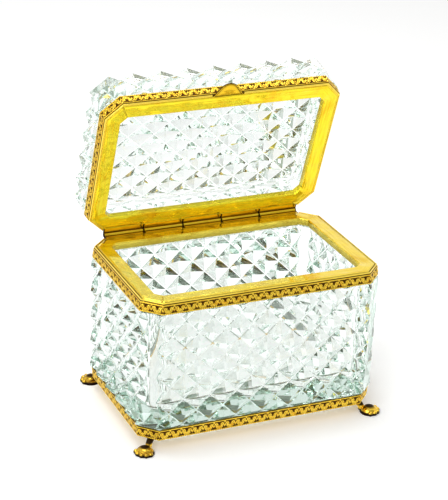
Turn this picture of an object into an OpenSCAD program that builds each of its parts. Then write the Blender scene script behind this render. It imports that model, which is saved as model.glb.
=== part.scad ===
// Glass casket box: a diamond-cut crystal body and lid in gilt brass mounts, on four paw feet.
// The lid turns on a long five-knuckle hinge behind the rear edge and stays where it is put.
// Millimetres. The origin is on the surface, under the middle of the body. +X is to the
// right, +Y to the back, and the hinge is at the back.

/* [Casket] */
// Width of the mounts over their side faces
case_w = 150; // [130:1:180]
// Depth of the mounts over their front and rear faces
case_d = 96; // [86:1:120]
// Leg of the 45 degree corners of the mounts
case_leg = 9.7; // [9:0.1:12]
// Height of the rim plane above the surface
rim_h = 95.6; // [80:1:120]
// Height of the lid's glass above the lid's parting face
lid_h = 27; // [24:0.5:32]
// How far the lid stands open from closed
lid_open = 71.15; // [0:1:100]
// Gap between the closed mounts
parting_gap = 0.3; // [0.2:0.05:0.6]

/* [Glass] */
// Height of the diamonds above the cuts between them
cut_depth = 3.4; // [2:0.1:4]
// Leg of the plain 45 degree corners of the cut glass
glass_leg = 7.2; // [6:0.1:8.4]
// Diamonds across the front of the glass
front_count = 8; // [6:1:10]
// Diamonds across a side of the glass
side_count = 5; // [3:1:7]
// Height of a row of the body's cuts
row_h = 8.36; // [7:0.02:10]
// Depth of the topmost crossings below the rim plane, behind the mount
row_drop = 5; // [4:0.1:6]
// Rows of cuts up the side of the lid
lid_rows = 2; // [1:1:3]
// Distance from the mounts' outline to the inside of the glass wall
wall_in = 8.7; // [8.2:0.1:11]
// Corner radius of the hollows
hollow_r = 6; // [3:0.5:6]
// Thickness of the body's glass bottom
bottom_t = 15; // [10:0.5:22]
// Thickness of the lid's top below its cuts
lid_top_t = 9.5; // [8:0.5:12]

/* [Mounts] */
// Height of the rim and lid mounts
mount_h = 7.1; // [6:0.1:9]
// Height of the base mount
base_mount_h = 6.6; // [5.5:0.1:8]
// Thickness of the flat flanges
flange_t = 1.2; // [1:0.1:1.6]
// Height of the skirt inside a flange
skirt_h = 4.4; // [3:0.1:6]
// Thickness of the skirts
skirt_t = 0.8; // [0.6:0.1:1]
// Width of the bead that edges a flange
bead_w = 1.3; // [1:0.1:1.6]
// Thickness of the embossed bands
band_t = 0.9; // [0.7:0.1:1]
// How far the bands flare out towards their free edges
band_flare = 0.8; // [0.4:0.1:1.2]
// Height of the plain moulding along each edge of a band
border_h = 0.9; // [0.6:0.1:1.2]
// How far those mouldings stand out
border_out = 0.35; // [0.2:0.05:0.5]
// Thickness of the plaster bed between glass and brass
bed_t = 0.4; // [0.3:0.1:0.8]
// Thickness of the ledge under the body
ledge_t = 1.5; // [1.2:0.1:2]
// Width of the ledge
ledge_w = 10; // [9:0.5:14]

/* [Hinge] */
// Distance of the hinge axis behind the mounts' outline
hinge_back = 3.2; // [3:0.1:4]
// Outer radius of the knuckles
knuckle_r = 1.25; // [1.1:0.05:1.4]
// Radius of the hinge pin
pin_r = 0.6; // [0.5:0.05:0.7]
// Radial clearance of the pin in the knuckles
pin_gap = 0.05; // [0.02:0.01:0.08]
// Number of knuckles, the outer ones on the body
knuckle_count = 5; // [3:2:9]
// Gap between knuckles
knuckle_gap = 0.25; // [0.15:0.05:0.4]
// Thickness of the hinge leaves
leaf_t = 0.9; // [0.7:0.1:1]

/* [Thumb tab] */
// Width of the thumb tab
tab_w = 20; // [14:0.5:26]
// How far the tab's tip stands out from the mounts' outline
tab_out = 7.4; // [5:0.2:10]

/* [Feet] */
// Height of the feet
foot_h = 7.5; // [6.5:0.1:9]
// Radius of the paw, seen from above
paw_r = 5.9; // [5:0.1:7]
// Distance of the paw's middle outside the mounts' corner face
paw_out = 4.4; // [3:0.1:6]
// Distance of the foot's pad inside the mounts' corner face
pad_in = 5.2; // [4.8:0.1:5.6]
// Radius of the pad under the ledge
pad_r = 3.4; // [3:0.1:3.8]
// Toes on each paw
toe_count = 5; // [3:2:7]
// Radius of a toe
toe_r = 1.6; // [1.3:0.1:1.8]
// Radius of the screw that holds a foot
screw_r = 1; // [0.8:0.1:1.2]
// Length of the screw below its head
screw_len = 3.4; // [3:0.1:4]

/* [Hidden] */

root2 = sqrt(2);
fine = 48;
// clearance of pieces that are slipped in beside each other
fit_gap = 0.3;
// depth by which a cutting shape runs past what it cuts
over = 1;

// width of the flat flanges: their skirts hang just inside the hollow
flange_w = wall_in + fit_gap + skirt_t;
// the glass collar that the mounts hold, measured inwards from the mounts' outline
collar_in = 2.5;
// gap between a mount's edge and the cut glass beside it
cut_gap = 0.4;
base_top = foot_h + base_mount_h;
glass_bottom = foot_h + ledge_t + bed_t;
glass_top = rim_h - flange_t - bed_t;
hollow_floor = glass_bottom + bottom_t;
lid_glass_top = lid_h - cut_depth;
// the cuts start behind the rim mount and run on behind the base mount
body_rows = ceil((rim_h - row_drop - base_top) / row_h);

hinge_y = case_d / 2 + hinge_back;
hinge_z = rim_h + parting_gap / 2;
// the hinge fills the straight part of the rear edge, between the ends of the bead
hinge_len = case_w - 2 * (case_leg + (root2 - 1) * bead_w + fit_gap);
pitch_x = hinge_len / knuckle_count;
knuckle_len = pitch_x - knuckle_gap;
// the web that joins a knuckle to its leaf stops just short of the knuckle's top
web_top = knuckle_r - 0.05;
// inner edge of the leaves, against the flanges
leaf_y = case_d / 2 - bead_w;
leaf_edge_y = hinge_y - knuckle_r - 0.35;
leaf_drop = flange_t + parting_gap / 2;

// the bands: outset of their faces, and the leg that holds them under the flange
band_out = 0.1;
band_leg = 2.2;
band_leg_t = 0.7;
// plain step between a border and the frieze
frieze_gap = 0.2;
// depth of the plaster behind a band
bed_drop = 4.2;
base_bed_h = 2.6;
// the base band stands round the ledge, a little inside the rim's outline
base_in = 0.2;
ledge_out = band_t + band_out;

// half the distance between two opposite corner faces of the mounts
corner_face = (case_w / 2 + case_d / 2 - case_leg) / root2;
paw_dome_h = foot_h * 0.62;
// the foot's pad, and the bend that carries the paw
pad_t = 1.4;
shank_r = 2;
shank_bend = foot_h - pad_t - 0.6;
toe_fan = 128;
// width and depth of the slot in a screw's head
slot_w = 0.4;

brass = [0.83, 0.65, 0.24];
crystal = [0.86, 0.93, 0.92, 0.45];
plaster = [0.93, 0.92, 0.88];

// ---------------------------------------------------------------- octagon frames

// the leg of a corner once the outline is moved out by e
function leg_at(leg, e) = leg + e * (2 - root2);

// corners of an octagon, e outside a w x d outline, counter-clockwise from the front's left end
function octagon(w, d, leg, e) =
    let (x = w / 2 + e, y = d / 2 + e, k = leg_at(leg, e))
    [[-x + k, -y], [x - k, -y], [x, -y + k], [x, y - k],
     [x - k, y], [-x + k, y], [-x, y - k], [-x, -y + k]];

// arc points about c, from angle a to angle b
function arc(c, r, a, b, n = 6) = [for (i = [0:n])
    let (turn = a + (b - a) * i / n)
    c + r * [cos(turn), sin(turn)]];

// a flat octagonal ring, between outsets e0 and e1
module ring(e0, e1, z0, z1) {
    translate([0, 0, z0]) linear_extrude(z1 - z0) difference() {
        polygon(octagon(case_w, case_d, case_leg, e1));
        polygon(octagon(case_w, case_d, case_leg, e0));
    }
}

// a moulded strip, [outset, z] clockwise in section, mitred round count sides of the octagon
// from corner first. Less than all 8 sides leave two ends, filled about the section's heart.
module mitred_frame(section, first = 0, count = 8, heart = [0, 0]) {
    m = len(section);
    turns = count == 8 ? 8 : count + 1;
    corners = [for (p = concat(section, [heart])) octagon(case_w, case_d, case_leg, p[0])];
    levels = concat([for (p = section) p[1]], [heart[1]]);
    points = [for (r = [0:turns - 1]) for (q = [0:m])
        [corners[q][(first + r) % 8][0], corners[q][(first + r) % 8][1], levels[q]]];
    sides = [for (r = [0:count - 1]) for (q = [0:m - 1])
        let (a = r * (m + 1), b = (r + 1) % turns * (m + 1), t = (q + 1) % m)
        [a + q, b + q, b + t, a + t]];
    last = count * (m + 1);
    ends = count == 8 ? [] : [for (q = [0:m - 1])
        let (t = (q + 1) % m)
        each [[m, q, t], [last + m, last + t, last + q]]];
    polyhedron(points = points, faces = concat(sides, ends));
}

// turns the closed lid about the hinge to where it stands
module lid_place() {
    translate([0, hinge_y, hinge_z]) rotate([-lid_open, 0, 0]) translate([0, -hinge_y, -hinge_z]) children();
}

// the lid's mounts are the rim's, upside down on the parting face
module on_lid() {
    lid_place() translate([0, 0, rim_h + parting_gap]) mirror([0, 0, 1]) children();
}

// ---------------------------------------------------------------- sections, z from the parting face down

// two fine reeds that step down to the band
reed_r = bead_w * 0.3;
small_reed_r = bead_w / 2 - reed_r;
reed_step = 0.15;
bead_section = concat(
    [[-bead_w, -flange_t]],
    arc([-bead_w + reed_r, -reed_r], reed_r, 180, 0),
    arc([-small_reed_r, -reed_r - reed_step], small_reed_r, 160, 0, 5),
    [[0, -flange_t]]
);

// the plain half-round moulding along a band's edge, with its middle at z
function border(out, z) = [for (p = arc([0, 0], 1, 90, -90))
    [out + p[0] * border_out, z + p[1] * border_h / 2]];

// the embossed band of a rim: a leg under the flange, a border along each edge, a flared frieze
band_section =
    let (top = -flange_t, low = -mount_h, edge = border_h + frieze_gap, free = band_out + band_flare)
    concat(
        [[-band_leg, top - band_leg_t], [-band_leg, top]],
        border(band_out, top - border_h / 2),
        [[band_out + 0.15 * band_flare, top - edge], [band_out + 0.8 * band_flare, low + edge]],
        border(free, low + border_h / 2),
        [[free - band_t, low], [band_out - band_t, top - band_leg_t]]
    );

// the base band is widest at its top edge and draws in to the ledge
base_band_section =
    let (edge = border_h + frieze_gap, free = 0.7 * band_flare - base_in)
    concat(
        [[-ledge_out, foot_h], [free - band_t, base_top]],
        border(free, base_top - border_h / 2),
        [[free - 0.2 * band_flare, base_top - edge], [-base_in, foot_h + edge]],
        border(-base_in, foot_h + border_h / 2)
    );

// ---------------------------------------------------------------- diamond-cut glass

// The cuts cross in a lattice of half diamonds. Columns are counted counter-clockwise from the
// front's left end, first to last on each face, and rows down from the top. At every other
// place the cuts cross on the outline; at the places between, a diamond's point stands out.
cols = [for (n = [front_count, side_count, front_count, side_count]) 2 * n + 1];
starts = [0, cols[0], cols[0] + cols[1], 2 * cols[0] + cols[1]];
around = 2 * (cols[0] + cols[1]);

// the face that column s lies on: front, right, rear or left
function face_of(s) = s < starts[1] ? 0 : s < starts[2] ? 1 : s < starts[3] ? 2 : 3;

// half the length of a face between the plain corners
function half_len(f) = (f % 2 == 0 ? case_w : case_d) / 2 - glass_leg;

// width of a half diamond
function step_of(f) = 2 * half_len(f) / (cols[f] - 1);

// the point of face f that lies a along it and e outside the outline
function on_face(f, a, e) =
    f == 0 ? [a, -case_d / 2 - e] : f == 1 ? [case_w / 2 + e, a] :
    f == 2 ? [-a, case_d / 2 + e] : [-case_w / 2 - e, -a];

// whether the cuts cross at column s of row k. A twist of 1 shifts the side faces by a column.
function crosses(s, k, twist) = let (f = face_of(s)) (s - starts[f] + k + f * twist) % 2 == 1;

// row k of the lattice: points h out and up above z. On an end column the point would stand
// over the plain corner, so it slides down its ridge until it lies in the corner's plane.
function lattice_row(k, z, h, up, twist) = [for (s = [0:around - 1])
    let (
        f = face_of(s),
        step = step_of(f),
        c = s - starts[f],
        a = c * step - half_len(f),
        slide = c == 0 ? 1 : c == cols[f] - 1 ? -1 : 0,
        out = crosses(s, k, twist) ? 0 : slide == 0 ? h : h * step / (h + step),
        p = on_face(f, a + slide * out, out)
    )
    [p[0], p[1], z + (out > 0 ? up : 0)]];

// the skin between the rows, bottom row first, each cell split along the cut that crosses it
function ring_skin(rows, twist) = [for (r = [0:rows - 1]) for (s = [0:around - 1])
    let (t = (s + 1) % around, a = r * around + s, b = r * around + t, c = b + around, d = a + around)
    each (crosses(s, rows - r, twist) ? [[c, b, a], [d, c, a]] : [[d, b, a], [d, c, b]])];

// a fan that closes a row from a middle point, seen from below
function fan(middle, row) = [for (s = [0:around - 1]) [middle, row + s, row + (s + 1) % around]];

// upside down
function flip(faces) = [for (f = faces) [f[2], f[1], f[0]]];

// the endless lattice of the body, before it is cut off behind the mounts
module body_lattice() {
    top = rim_h - row_drop;
    rows = [for (k = [body_rows:-1:0]) lattice_row(k, top - k * row_h, cut_depth, 0, 1)];
    middle = len(rows) * around;
    polyhedron(
        points = concat([for (r = rows) each r], [[0, 0, rows[0][0][2]], [0, 0, top]]),
        faces = concat(ring_skin(body_rows, 1), fan(middle, 0), flip(fan(middle + 1, body_rows * around)))
    );
}

// the plain collar of a block of glass, held in the mounts
module collar(z0, z1) {
    translate([0, 0, z0]) linear_extrude(z1 - z0) polygon(octagon(case_w, case_d, case_leg, -collar_in));
}

// upright hollow with round corners
module hollow(z0, z1) {
    x = case_w / 2 - wall_in;
    y = case_d / 2 - wall_in;
    translate([0, 0, z0]) {
        translate([-x + hollow_r, -y, 0]) cube([2 * (x - hollow_r), 2 * y, z1 - z0]);
        translate([-x, -y + hollow_r, 0]) cube([2 * x, 2 * (y - hollow_r), z1 - z0]);
        for (sx = [-1, 1]) for (sy = [-1, 1])
            translate([sx * (x - hollow_r), sy * (y - hollow_r), 0])
                cylinder(r = hollow_r, h = z1 - z0, $fn = fine);
    }
}

module body_glass() {
    z0 = base_top + cut_gap;
    z1 = rim_h - mount_h - cut_gap;
    color(crystal) difference() {
        union() {
            intersection() {
                body_lattice();
                translate([-case_w, -case_d, z0]) cube([2 * case_w, 2 * case_d, z1 - z0]);
            }
            collar(glass_bottom, glass_top);
        }
        hollow(hollow_floor, glass_top + over);
    }
}

// The lid's top carries the lattice on: i counts half diamonds to the right and j to the back.
// Lines -1 and count + 1 are the top row of the sides, which has no points at the corners.
function top_index(i, j, ring_start, grid_start) =
    let (nf = cols[0] - 1, ns = cols[1] - 1)
    j == -1 ? ring_start + i : i == nf + 1 ? ring_start + starts[1] + j :
    j == ns + 1 ? ring_start + starts[2] + nf - i : i == -1 ? ring_start + starts[3] + ns - j :
    grid_start + j * (nf + 1) + i;

// the cell right of and behind i, j: two triangles, or one at a corner of the top
function top_cell(i, j, ring_start, grid_start) =
    let (
        nf = cols[0] - 1, ns = cols[1] - 1,
        a = top_index(i, j, ring_start, grid_start),
        b = top_index(i + 1, j, ring_start, grid_start),
        c = top_index(i + 1, j + 1, ring_start, grid_start),
        d = top_index(i, j + 1, ring_start, grid_start)
    )
    i == -1 && j == -1 ? [[d, c, b]] : i == nf && j == -1 ? [[d, c, a]] :
    i == nf && j == ns ? [[d, b, a]] : i == -1 && j == ns ? [[c, b, a]] :
    (i + j) % 2 == 0 ? [[c, b, a], [d, c, a]] : [[d, b, a], [d, c, b]];

module lid_lattice() {
    nf = cols[0] - 1;
    ns = cols[1] - 1;
    z0 = mount_h + cut_gap;
    row_step = (lid_glass_top - z0) / lid_rows;
    edge_depth = 0.6 * cut_depth;
    rows = concat(
        [for (k = [lid_rows:-1:1]) lattice_row(k, lid_glass_top - k * row_step, cut_depth, 0, 0)],
        [lattice_row(0, lid_glass_top, edge_depth, edge_depth, 0)]
    );
    grid = [for (j = [0:ns]) for (i = [0:nf])
        let (z = (i + j) % 2 == 0 ? lid_glass_top : lid_h)
        [i * step_of(0) - half_len(0), j * step_of(1) - half_len(1), z]];
    ring_start = lid_rows * around;
    grid_start = ring_start + around;
    middle = grid_start + len(grid);
    polyhedron(
        points = concat([for (r = rows) each r], grid, [[0, 0, z0]]),
        faces = concat(
            ring_skin(lid_rows, 0),
            fan(middle, 0),
            [for (j = [-1:ns]) for (i = [-1:nf]) each top_cell(i, j, ring_start, grid_start)]
        )
    );
}

module lid_glass() {
    color(crystal) lid_place() translate([0, 0, rim_h + parting_gap]) difference() {
        union() {
            lid_lattice();
            collar(flange_t + bed_t, mount_h + over);
        }
        hollow(0, lid_glass_top - lid_top_t);
    }
}

// ---------------------------------------------------------------- rim, lid and base mounts

// a flat flange, with a skirt that hangs just inside the hollow
module flange() {
    difference() {
        ring(-flange_w, -bead_w, -skirt_h, 0);
        ring(-flange_w + skirt_t, over, -skirt_h - over, -flange_t);
    }
}

// the bead leaves the rear side to the hinge
module bead() {
    mitred_frame(bead_section, first = 5, count = 7, heart = [-bead_w / 2, -0.7 * flange_t]);
}

// plaster over the glass edge, through behind the band's leg and down beside the collar
module bed() {
    low = -bed_drop;
    ring(-wall_in, -band_leg, -flange_t - bed_t, -flange_t);
    ring(-collar_in, -band_leg, low, -flange_t);
    ring(-collar_in, band_out - band_t, low, -flange_t - band_leg_t);
}

module rim_flange() {
    color(brass) translate([0, 0, rim_h]) flange();
}

module rim_bead() {
    color(brass) translate([0, 0, rim_h]) bead();
}

module rim_band() {
    color(brass) translate([0, 0, rim_h]) mitred_frame(band_section);
}

module rim_bed() {
    color(plaster) translate([0, 0, rim_h]) bed();
}

module lid_flange() {
    color(brass) on_lid() flange();
}

module lid_bead() {
    color(brass) on_lid() difference() {
        bead();
        translate([-tab_w / 2 - fit_gap / 2, -case_d / 2 - over, -flange_t - over])
            cube([tab_w + fit_gap, bead_w + 2 * over, flange_t + 2 * over]);
    }
}

module lid_band() {
    color(brass) on_lid() mitred_frame(band_section);
}

module lid_bed() {
    color(plaster) on_lid() bed();
}

module base_band() {
    color(brass) mitred_frame(base_band_section);
}

// middle of the pad of foot f, counted from the front left
function pad_at(f) =
    let (a = 225 + 90 * f, m = corner_middle(f))
    m + pad_in * [-cos(a), -sin(a)];

// middle of the mounts' corner face at foot f
function corner_middle(f) =
    let (o = octagon(case_w, case_d, case_leg, 0), i = (2 * f + 7) % 8)
    (o[i] + o[(i + 1) % 8]) / 2;

module base_ledge() {
    color(brass) difference() {
        ring(-ledge_w, -ledge_out, foot_h, foot_h + ledge_t);
        for (f = [0:3]) translate([pad_at(f)[0], pad_at(f)[1], 0]) {
            translate([0, 0, foot_h - over])
                cylinder(r = screw_r + pin_gap, h = ledge_t + 2 * over, $fn = fine);
            translate([0, 0, foot_h + ledge_t - screw_r])
                cylinder(r1 = screw_r + pin_gap, r2 = 2 * screw_r + pin_gap, h = screw_r, $fn = fine);
        }
    }
}

module base_bed() {
    z = foot_h + ledge_t;
    color(plaster) difference() {
        ring(-ledge_w, -ledge_out, z, z + base_bed_h);
        ring(-ledge_w - over, -collar_in, z + bed_t, z + base_bed_h + over);
    }
}

// ---------------------------------------------------------------- feet

// countersunk screws from above the ledge into the pads
module foot_screws() {
    z = foot_h + ledge_t - screw_r;
    color([0.72, 0.6, 0.35]) for (f = [0:3]) translate([pad_at(f)[0], pad_at(f)[1], z]) difference() {
        union() {
            cylinder(r1 = screw_r, r2 = 2 * screw_r, h = screw_r, $fn = fine);
            translate([0, 0, -screw_len]) cylinder(r = screw_r, h = screw_len, $fn = fine);
        }
        translate([-2 * screw_r, -slot_w / 2, screw_r - slot_w])
            cube([4 * screw_r, slot_w, over]);
    }
}

// a cast paw: a pad under the ledge, a shank that bends down and out, and a paw with toes.
// +X runs outwards from the middle of the corner face.
module paw_foot() {
    difference() {
        union() {
            translate([-pad_in, 0, foot_h - pad_t]) cylinder(r = pad_r, h = pad_t, $fn = fine);
            translate([-pad_in, 0, foot_h - pad_t - shank_bend + 0.2]) rotate([90, 0, 0])
                rotate_extrude(angle = 95, $fn = fine)
                    translate([shank_bend - 0.9, 0]) circle(r = shank_r, $fn = fine);
            translate([paw_out, 0, paw_dome_h - paw_r]) sphere(r = paw_r, $fn = fine);
            for (t = [0:toe_count - 1]) translate([paw_out, 0, toe_r * 0.75])
                rotate([0, 0, toe_fan * (t / (toe_count - 1) - 0.5)]) toe();
        }
        // flat underside
        translate([-20, -20, -40]) cube([60, 40, 40]);
        // screw hole, from the top of the pad
        translate([-pad_in, 0, foot_h + ledge_t - screw_r - screw_len - fit_gap])
            cylinder(r = screw_r + pin_gap, h = 2 * screw_len, $fn = fine);
    }
}

// a toe: a knob at the end of a slimmer finger
module toe() {
    rotate([0, 90, 0]) cylinder(r = toe_r * 0.86, h = paw_r * 0.82, $fn = fine);
    translate([paw_r * 0.86, 0, 0]) sphere(r = toe_r, $fn = fine);
}

module foot(f) {
    m = corner_middle(f);
    color(brass) translate([m[0], m[1], 0]) rotate([0, 0, 225 + 90 * f]) paw_foot();
}

// ---------------------------------------------------------------- hinge

// knuckles k0, k0 + 2, ... and the strip that joins them to a mount. dir is -1 below the axis
// for the body and 1 above it for the lid.
module hinge_leaf(k0, dir) {
    z_in = dir * (leaf_drop - leaf_t);
    z_out = dir * leaf_drop;
    difference() {
        union() {
            translate([-hinge_len / 2, leaf_y - hinge_y, min(z_in, z_out)])
                cube([hinge_len, leaf_edge_y - leaf_y, leaf_t]);
            for (k = [k0:2:knuckle_count - 1])
                translate([-hinge_len / 2 + k * pitch_x + knuckle_gap / 2, 0, 0]) {
                    rotate([0, 90, 0]) cylinder(r = knuckle_r, h = knuckle_len, $fn = fine);
                    translate([0, leaf_edge_y - hinge_y - 0.1, min(z_in, dir * web_top)])
                        cube([knuckle_len, hinge_y - leaf_edge_y + 0.1, web_top - leaf_drop + leaf_t]);
                }
        }
        translate([-hinge_len / 2 - over, 0, 0]) rotate([0, 90, 0])
            cylinder(r = pin_r + pin_gap, h = hinge_len + 2 * over, $fn = fine);
    }
}

module body_hinge_leaf() {
    color(brass) translate([0, hinge_y, hinge_z]) hinge_leaf(0, -1);
}

module lid_hinge_leaf() {
    color(brass) lid_place() translate([0, hinge_y, hinge_z]) hinge_leaf(1, 1);
}

module hinge_pin() {
    color([0.75, 0.6, 0.3]) translate([-hinge_len / 2, hinge_y, hinge_z]) rotate([0, 90, 0])
        cylinder(r = pin_r, h = hinge_len, $fn = fine);
}

// ---------------------------------------------------------------- thumb tab

// half outline of the tab: from the foot over the shoulder and its hollow to the rounded tip
function tab_half(w, h) = concat(
    [[w / 2, 0]],
    arc([w * 0.33, h * 0.12], w * 0.17, 0, 72, 6),
    arc([w * 0.27, h * 1.02], w * 0.17, -62, -130, 4),
    arc([0, h - w * 0.115], w * 0.115, 40, 90, 4)
);

module thumb_tab() {
    reach = tab_out + bead_w;
    half = tab_half(tab_w, reach);
    outline = concat(half, [for (i = [len(half) - 2:-1:0]) [-half[i][0], half[i][1]]]);
    color(brass) on_lid() translate([0, -case_d / 2 + bead_w, -flange_t]) mirror([0, 1, 0])
        linear_extrude(flange_t) polygon(outline);
}

body_glass();
rim_bed();
rim_flange();
rim_bead();
rim_band();
base_bed();
base_ledge();
base_band();
foot(0);  // foot_front_left
foot(1);  // foot_front_right
foot(2);  // foot_rear_right
foot(3);  // foot_rear_left
foot_screws();
body_hinge_leaf();
hinge_pin();
lid_hinge_leaf();
lid_glass();
lid_bed();
lid_flange();
lid_bead();
lid_band();
thumb_tab();
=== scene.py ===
import math

import bmesh
import bpy
import numpy as np
from mathutils import Matrix, Vector


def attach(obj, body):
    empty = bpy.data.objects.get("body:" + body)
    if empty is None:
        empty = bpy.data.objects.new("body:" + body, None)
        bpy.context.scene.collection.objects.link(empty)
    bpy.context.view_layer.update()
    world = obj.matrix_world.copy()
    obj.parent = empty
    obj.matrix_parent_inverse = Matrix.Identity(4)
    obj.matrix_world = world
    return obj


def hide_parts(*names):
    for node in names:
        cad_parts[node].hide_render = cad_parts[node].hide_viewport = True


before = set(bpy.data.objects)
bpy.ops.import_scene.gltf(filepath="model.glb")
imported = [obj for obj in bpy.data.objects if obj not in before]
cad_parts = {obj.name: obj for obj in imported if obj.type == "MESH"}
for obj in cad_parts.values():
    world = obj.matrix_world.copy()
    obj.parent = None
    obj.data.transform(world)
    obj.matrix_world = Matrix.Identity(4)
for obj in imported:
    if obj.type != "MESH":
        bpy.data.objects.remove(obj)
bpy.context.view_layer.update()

# ------------------------------------------------------------------ studio
# A flat white table before a white backdrop, under a large soft lamp above and behind.
# The dark side of the room, behind the viewer, is what the cut glass picks up.
LOOK_AT = np.array([0, 0, 0.0956])
CAM_AZ, CAM_EL, CAM_ROLL = (math.radians(a) for a in (-24.7156, 23.9939, 2.5862))
CAM_TX, CAM_TY, CAM_DIST = -0.0066778, 0.0028018, 1.0479741
CAM_FOCAL_PX = 1765.1068
FRAME_H_PX = 500
CAM_REACH = 20
GLASS_BOUNCES = 24

cam_back = np.array([math.sin(CAM_AZ) * math.cos(CAM_EL),
                     -math.cos(CAM_AZ) * math.cos(CAM_EL),
                     math.sin(CAM_EL)])
level_right = np.array([math.cos(CAM_AZ), math.sin(CAM_AZ), 0.0])
level_up = np.cross(cam_back, level_right)
cam_right = level_right * math.cos(CAM_ROLL) + level_up * math.sin(CAM_ROLL)
cam_up = -level_right * math.sin(CAM_ROLL) + level_up * math.cos(CAM_ROLL)
cam_place = LOOK_AT + cam_right * CAM_TX + cam_up * CAM_TY + cam_back * CAM_DIST

camera_data = bpy.data.cameras.new("camera")
camera_data.lens = CAM_FOCAL_PX / FRAME_H_PX * camera_data.sensor_width
camera_data.clip_end = CAM_REACH
camera = bpy.data.objects.new("camera", camera_data)
bpy.context.scene.collection.objects.link(camera)
cam_columns = np.column_stack([cam_right, cam_up, cam_back, cam_place])
camera.matrix_world = Matrix(np.vstack([cam_columns, (0, 0, 0, 1)]).tolist())
bpy.context.scene.camera = camera
bpy.context.scene.view_settings.view_transform = "Standard"
cycles = bpy.context.scene.cycles
cycles.max_bounces = cycles.transmission_bounces = cycles.glossy_bounces = GLASS_BOUNCES


def wire(tree, source, target):
    """Links one socket to another."""
    tree.links.new(source, target)


def node(tree, kind, **values):
    """Adds a shader node; values set its properties, or its input sockets by number (i0, i1, ...)."""
    made = tree.nodes.new(kind)
    for name, value in values.items():
        if name[0] == "i" and name[1:].isdigit():
            made.inputs[int(name[1:])].default_value = value
        else:
            setattr(made, name, value)
    return made


def maths(tree, operation, *values, clamp=False):
    """The result of a Math node, whose values are sockets or numbers."""
    made = node(tree, "ShaderNodeMath", operation=operation, use_clamp=clamp)
    for place, value in zip(made.inputs, values):
        if isinstance(value, bpy.types.NodeSocket):
            wire(tree, value, place)
        else:
            place.default_value = value
    return made.outputs[0]


def fade(tree, source, low, high, start=0.0, end=1.0):
    """A smooth step of a value: start below low, end above high."""
    step = node(tree, "ShaderNodeMapRange", interpolation_type="SMOOTHSTEP")
    wire(tree, source, step.inputs["Value"])
    for name, value in (("From Min", low), ("From Max", high), ("To Min", start), ("To Max", end)):
        step.inputs[name].default_value = value
    return step.outputs["Result"]


def mix_colours(tree, share, low, high):
    """low (1 - share) + high share, where each colour is a socket or plain red, green and blue."""
    mix = node(tree, "ShaderNodeMix", data_type="RGBA")
    wire(tree, share, mix.inputs["Factor"])
    for name, colour in (("A", low), ("B", high)):
        if isinstance(colour, bpy.types.NodeSocket):
            wire(tree, colour, mix.inputs[name])
        else:
            mix.inputs[name].default_value = (*colour, 1)
    return mix.outputs["Result"]


def mix_shaders(tree, share, low, high):
    """low (1 - share) + high share, of two shaders."""
    mix = node(tree, "ShaderNodeMixShader")
    for place, source in zip(mix.inputs, (share, low, high)):
        wire(tree, source, place)
    return mix.outputs[0]


def axes(tree, source):
    """The x, y and z of a vector, as three sockets."""
    split = node(tree, "ShaderNodeSeparateXYZ")
    wire(tree, source, split.inputs[0])
    return split.outputs


WHITE = (1.0, 1.0, 1.0)
DARK_SIDE = (0.46, 0.52, 0.44)
ROOM_LEVEL = 0.55

world = bpy.data.worlds.new("studio")
bpy.context.scene.world = world
world.use_nodes = True
sky = world.node_tree
sky.nodes.clear()
_, to_rear, to_top = axes(sky, node(sky, "ShaderNodeTexCoord").outputs["Generated"])
# dark from the table's edge to about 50 degrees up, on the viewer's side only
height_band = maths(sky, "MULTIPLY", fade(sky, to_top, -0.05, 0.1), fade(sky, to_top, 0.75, 0.95, 1.0, 0.0))
dark_side = maths(sky, "MULTIPLY", fade(sky, to_rear, -0.15, -0.6), height_band)
seen_room = node(sky, "ShaderNodeBackground", i1=1.0)
wire(sky, mix_colours(sky, dark_side, WHITE, DARK_SIDE), seen_room.inputs["Color"])
white_room = node(sky, "ShaderNodeBackground", i0=(*WHITE, 1), i1=1.0)
soft_room = node(sky, "ShaderNodeBackground", i0=(*WHITE, 1), i1=ROOM_LEVEL)
sky_ray = node(sky, "ShaderNodeLightPath").outputs
in_gloss = maths(sky, "MAXIMUM", sky_ray["Is Glossy Ray"], sky_ray["Is Transmission Ray"])
lit_room = mix_shaders(sky, in_gloss, soft_room.outputs[0], seen_room.outputs[0])
whole_room = mix_shaders(sky, sky_ray["Is Camera Ray"], lit_room, white_room.outputs[0])
wire(sky, whole_room, node(sky, "ShaderNodeOutputWorld").inputs[0])


def lamp(name, place, target, size, power):
    """A square soft lamp at a place, turned to shine on a target point."""
    data = bpy.data.lights.new(name, "AREA")
    data.size = size
    data.energy = power
    thing = bpy.data.objects.new(name, data)
    bpy.context.scene.collection.objects.link(thing)
    thing.location = place
    thing.rotation_euler = (Vector(target) - Vector(place)).to_track_quat("-Z", "Y").to_euler()


lamp("softbox", (-0.12, 0.22, 1.2), (0, 0, 0.08), 0.6, 6.5)
lamp("fill", (-0.9, -0.8, 0.9), (0, 0, 0.1), 0.8, 8.0)

TABLE_HALF = 6


def lit_paper(tree, paper, glow, level):
    """Diffuse paper with a glow added to it."""
    both = node(tree, "ShaderNodeAddShader")
    wire(tree, node(tree, "ShaderNodeBsdfDiffuse", i0=(*paper, 1)).outputs[0], both.inputs[0])
    wire(tree, node(tree, "ShaderNodeEmission", i0=(*glow, 1), i1=level).outputs[0], both.inputs[1])
    return both.outputs[0]


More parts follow.
